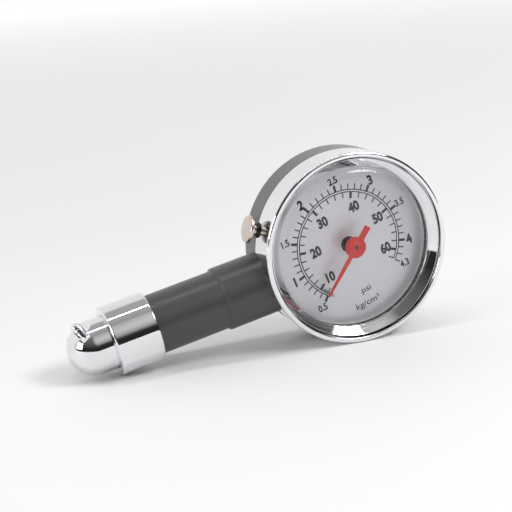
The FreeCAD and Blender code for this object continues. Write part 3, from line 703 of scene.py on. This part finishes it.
def makeHead():
    ball = {"radius": 7.0, "near": 61.0, "centre": 70.8, "facetHeight": 5.69, "facetLean": 26.3, "slot": 2.4,
            "slotDepth": 1.0, "slotShift": 0.3, "port": 4.15, "portMouth": 5.6, "passage": 1.2, "nib": 1.5,
            "nibShift": 3.0, "pocket": 4.5, "pocketDepth": 1.4, "pinHole": 1.8, "pinDepth": 2.1, "spotface": 0.4,
            "chamfer": 0.3, "facetRun": 8.0}
    outline = [(0, ball["near"]), (ball["radius"], ball["near"], 0.1, 2),
               (ball["radius"], ball["centre"] + ball["radius"], ball["radius"] - 0.001, 40),
               (0, ball["centre"] + ball["radius"])]
    head = turnPiece("chuckHead", outline, stemPoint, stemDir, 160)
    centre = stemPoint + stemDir * ball["centre"] * mm
    lean = math.radians(ball["facetLean"])
    normal = stemUp * math.cos(lean) + stemDir * math.sin(lean)
    side = stemUp * math.sin(lean) - stemDir * math.cos(lean)
    axes = (side, Vector((0, 1, 0)), normal)
    top = centre + normal * ball["facetHeight"] * mm
    cutAway(head, boxCutter((ball["facetRun"], 20, 4), top + normal * 2 * mm, axes))
    groove = top + side * ball["slotShift"] * mm
    cutAway(head, boxCutter((ball["slot"], 20, 2 * ball["slotDepth"]), groove, axes))
    mouth = ball["portMouth"]
    cutAway(head, rodCutter(ball["port"], centre, portDir, 0, 9, 96))
    cutAway(head, rodCutter(ball["pocket"], centre, portDir, 0, ball["pocketDepth"], 96))
    cutAway(head, rodCutter(ball["port"] + ball["spotface"], centre, portDir, mouth, 9, 96))
    cutAway(head, coneCutter(ball["port"], ball["port"] + ball["chamfer"], centre, portDir,
                             mouth - ball["chamfer"], mouth))
    cutAway(head, rodCutter(ball["pinHole"], centre, portDir, -ball["pinDepth"], 1, 48))
    cutAway(head, rodCutter(ball["passage"], stemPoint, stemDir, 60, ball["centre"], 48))
    softenEdges(head, 0.1, 45)
    finishPiece(head, "case", "chrome", ("chuck_head",), 30)
    foot = groove - normal * ball["slotDepth"] * mm + Vector((0, ball["nibShift"] * mm, 0))
    nibTop = ball["slotDepth"] + ball["nib"]
    nibOutline = [(0, 0), (ball["nib"], 0), (ball["nib"], nibTop, ball["nib"] - 0.001, 12), (0, nibTop)]
    nib = turnPiece("deflatorNib", nibOutline, foot, normal, 64)
    finishPiece(nib, "case", "chrome", ("deflator_nib",), 40)


def makeButton():
    cap = {"radius": 3.6, "face": 28.0, "thickness": 1.5, "neck": 1.4, "neckStart": 23.7, "bore": 0.8,
           "boreEnd": 25.9, "crown": 2.4}
    back = cap["face"] - cap["thickness"]
    outline = [(0, cap["face"]), (cap["crown"], cap["face"] - 0.06), (cap["radius"], cap["face"] - 0.3, 0.3, 5),
               (cap["radius"], back + 0.35, 0.3, 4), (cap["neck"], back),
               (cap["neck"], cap["neckStart"], 0.1, 2), (cap["bore"], cap["neckStart"]),
               (cap["bore"], cap["boreEnd"]), (0, cap["boreEnd"])]
    piece = turnPiece("bleedButton", outline, bleedPoint, bleedDir, 112)
    finishPiece(piece, "bleed_button", "nickel", ("bleed_button",), 40)


def makeBush():
    bush = {"inner": 16.8, "step": 18.6, "end": 25.1, "radius": 2.0, "guide": 0.87, "bore": 1.47}
    outline = [(bush["guide"], bush["inner"]), (bush["radius"], bush["inner"]),
               (bush["radius"], bush["end"], 0.15, 3), (bush["bore"], bush["end"], 0.08, 2),
               (bush["bore"], bush["step"]), (bush["guide"], bush["step"])]
    piece = turnPiece("bleedBush", outline, bleedPoint, bleedDir, 96)
    # the bush is near black: partly its own dark metal, partly painted shade for the neck in the button's shadow
    finishPiece(piece, "case", "dark_nickel", ("bleed_valve_body",), 40)


def makeSpring(name, node, at, direction, coil):
    bpy.ops.object.select_all(action="DESELECT")
    bpy.ops.mesh.primitive_circle_add(vertices=10, radius=coil["wire"] * mm, rotation=(math.pi / 2, 0, 0),
                                      location=(coil["radius"] * mm, 0, 0))
    spring = bpy.context.object
    spring.name = name
    bpy.ops.object.transform_apply(location=True, rotation=True, scale=True)
    wind = spring.modifiers.new("wind", "SCREW")
    wind.steps = wind.render_steps = 24
    wind.iterations = coil["turns"]
    wind.screw_offset = (coil["length"] - 2 * coil["wire"]) / coil["turns"] * mm
    bpy.ops.object.modifier_apply(modifier="wind")
    bpy.ops.object.mode_set(mode="EDIT")
    bpy.ops.mesh.select_all(action="SELECT")
    bpy.ops.mesh.fill_holes(sides=0)
    cleanUp(spring)
    spring.rotation_mode = "QUATERNION"
    spring.rotation_quaternion = direction.to_track_quat("Z", "Y")
    base = at + direction * coil["start"] * mm
    spring.location = base + direction * coil["wire"] * mm
    bpy.ops.object.transform_apply(location=True, rotation=True, scale=True)
    finishPiece(spring, "case", "steel", (node,), 60)
    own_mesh(spring)


def makeSprings():
    bleedCoil = {"radius": 1.15, "wire": 0.15, "length": 5.06, "turns": 6, "start": 18.62, "travel": 1.35}
    makeSpring("bleedSpring", "bleed_spring", bleedPoint, bleedDir, bleedCoil)
    checkCoil = {"radius": 1.4, "wire": 0.18, "length": 7.4, "turns": 6, "start": 50.05, "travel": 1.0}
    makeSpring("checkSpring", "check_valve_spring", stemPoint, stemDir, checkCoil)


makeCalls = [makeHousing, makeScrews, makeShell, makeBezel, makeLens, makeSeals, makeDial, makePrint,
             makePointer, makeStop, makeGrip, makeCollar, makeHead, makeButton, makeBush, makeSprings]
for makeCall in makeCalls:
    makeCall()
    print("made", makeCall.__name__[4:].lower())


def addFloor():
    floorLook = {"size": 6.0, "colour": (0.91, 0.91, 0.91), "lift": 0.5}
    bpy.ops.object.select_all(action="DESELECT")
    bpy.ops.mesh.primitive_plane_add(size=floorLook["size"], location=(0, 0, lowSide("front_shell", 2)))
    floor = bpy.context.object
    floor.name = "floor"
    m = Mat("pale floor")
    cloud = m.noise(3, 2, 0.5)
    colour = m.mix(cloud, floorLook["colour"], tuple(c * 0.99 for c in floorLook["colour"]))
    # the floor glows more the farther it lies from the gauge: painted light that lifts the far floor like a lit
    # backdrop
    away = m.node("ShaderNodeVectorMath", {"operation": "LENGTH"}, {0: m.coords}, "Value")
    lift = m.ramp(away * 0.5, (0.08, 0.0), (0.7, floorLook["lift"]))
    floor.data.materials.append(m.finish(m.principled(Base_Color=colour, Roughness=0.7, Emission_Color=lift,
                                                      Emission_Strength=1.0)))


def addLight(name, place, target, size, power):
    data = bpy.data.lights.new(name, "AREA")
    data.shape = "RECTANGLE"
    data.size, data.size_y = size
    data.energy = power
    lamp = bpy.data.objects.new(name, data)
    bpy.context.scene.collection.objects.link(lamp)
    lamp.location = place
    lamp.rotation_mode = "QUATERNION"
    lamp.rotation_quaternion = (Vector(target) - Vector(place)).to_track_quat("-Z", "Y")


def addWorld():
    room = {"wall": 0.95, "dark": 0.022, "low": 0.10, "high": 0.17, "ceiling": 0.42, "right": 0.22,
            "glow": 0.5, "glowFrom": (0.22, -0.70, 0.68)}
    world = bpy.data.worlds.new("studio")
    bpy.context.scene.world = world
    world.use_nodes = True
    m = Mat(tree=world.node_tree)
    way = m.node("ShaderNodeTexCoord", out="Generated")
    sideways, facing, height = [m.node("ShaderNodeSeparateXYZ", {}, {"Vector": way}, axis) for axis in "XYZ"]
    # bright behind the gauge, dark on the camera's side, pale overhead
    inFront = m.ramp(facing * 0.5 + 0.5, (0.42, 1.0), (0.62, 0.0))
    behind = m.ramp(height, (0.0, room["wall"]), (0.82, room["wall"] * 0.9), (0.90, room["ceiling"]))
    ahead = m.ramp(height, (0.0, room["dark"]), (0.22, room["dark"]), (0.5, room["low"]), (0.8, room["high"]),
                   (0.97, room["ceiling"]))
    toGlow = m.node("ShaderNodeVectorMath", {"operation": "DOT_PRODUCT"},
                    {0: way, 1: Vector(room["glowFrom"]).normalized()}, "Value")
    glow = m.ramp(toGlow, (0.90, 0.0), (0.985, room["glow"]))
    right = m.ramp(sideways * 0.5 + 0.5, (0.80, 1.0), (0.90, room["right"]))
    strength = ahead * inFront + behind * (1 - inFront) * right + glow
    direct = m.node("ShaderNodeLightPath", out="Is Camera Ray")     # plain white where the room itself is seen
    strength = strength * (1 - direct) + direct
    background = m.node("ShaderNodeBackground", {}, {"Color": (1.0, 1.0, 1.0), "Strength": strength})
    m.tree.links.new(background.socket, m.tree.nodes.new("ShaderNodeOutputWorld").inputs["Surface"])


def addCamera():
    cameraLook = {"place": (-0.14397, -0.34347, 0.08764), "forward": (0.32626, 0.91437, -0.23974),
                  "up": (0.14801, 0.20108, 0.96833), "lens": 100.55}
    data = bpy.data.cameras.new("camera")
    data.lens = cameraLook["lens"]
    data.sensor_width = 36.0
    camera = bpy.data.objects.new("camera", data)
    bpy.context.scene.collection.objects.link(camera)
    back = -Vector(cameraLook["forward"]).normalized()
    right = Vector(cameraLook["up"]).cross(back).normalized()
    up = back.cross(right)
    turn = Matrix((right, up, back)).transposed()
    camera.rotation_mode = "QUATERNION"
    camera.rotation_quaternion = turn.to_quaternion()
    camera.location = cameraLook["place"]
    bpy.context.scene.camera = camera


addFloor()
addWorld()
lights = {"overhead": ((0.0, -0.05, 1.1), (0, -0.05, 0), (1.3, 0.04), 2.8),       # place, target, size, watts
          "left": ((-0.72, -0.16, 0.21), (-0.04, 0, 0), (0.3, 0.26), 1.6),
          "right": ((0.39, -0.353, 0.533), (0, 0, 0), (0.36, 0.22), 2.8)}
for name, (place, target, size, power) in lights.items():
    addLight(name, place, target, size, power)
addCamera()
bpy.context.scene.view_settings.view_transform = "Standard"
print("stage, lights and camera set")
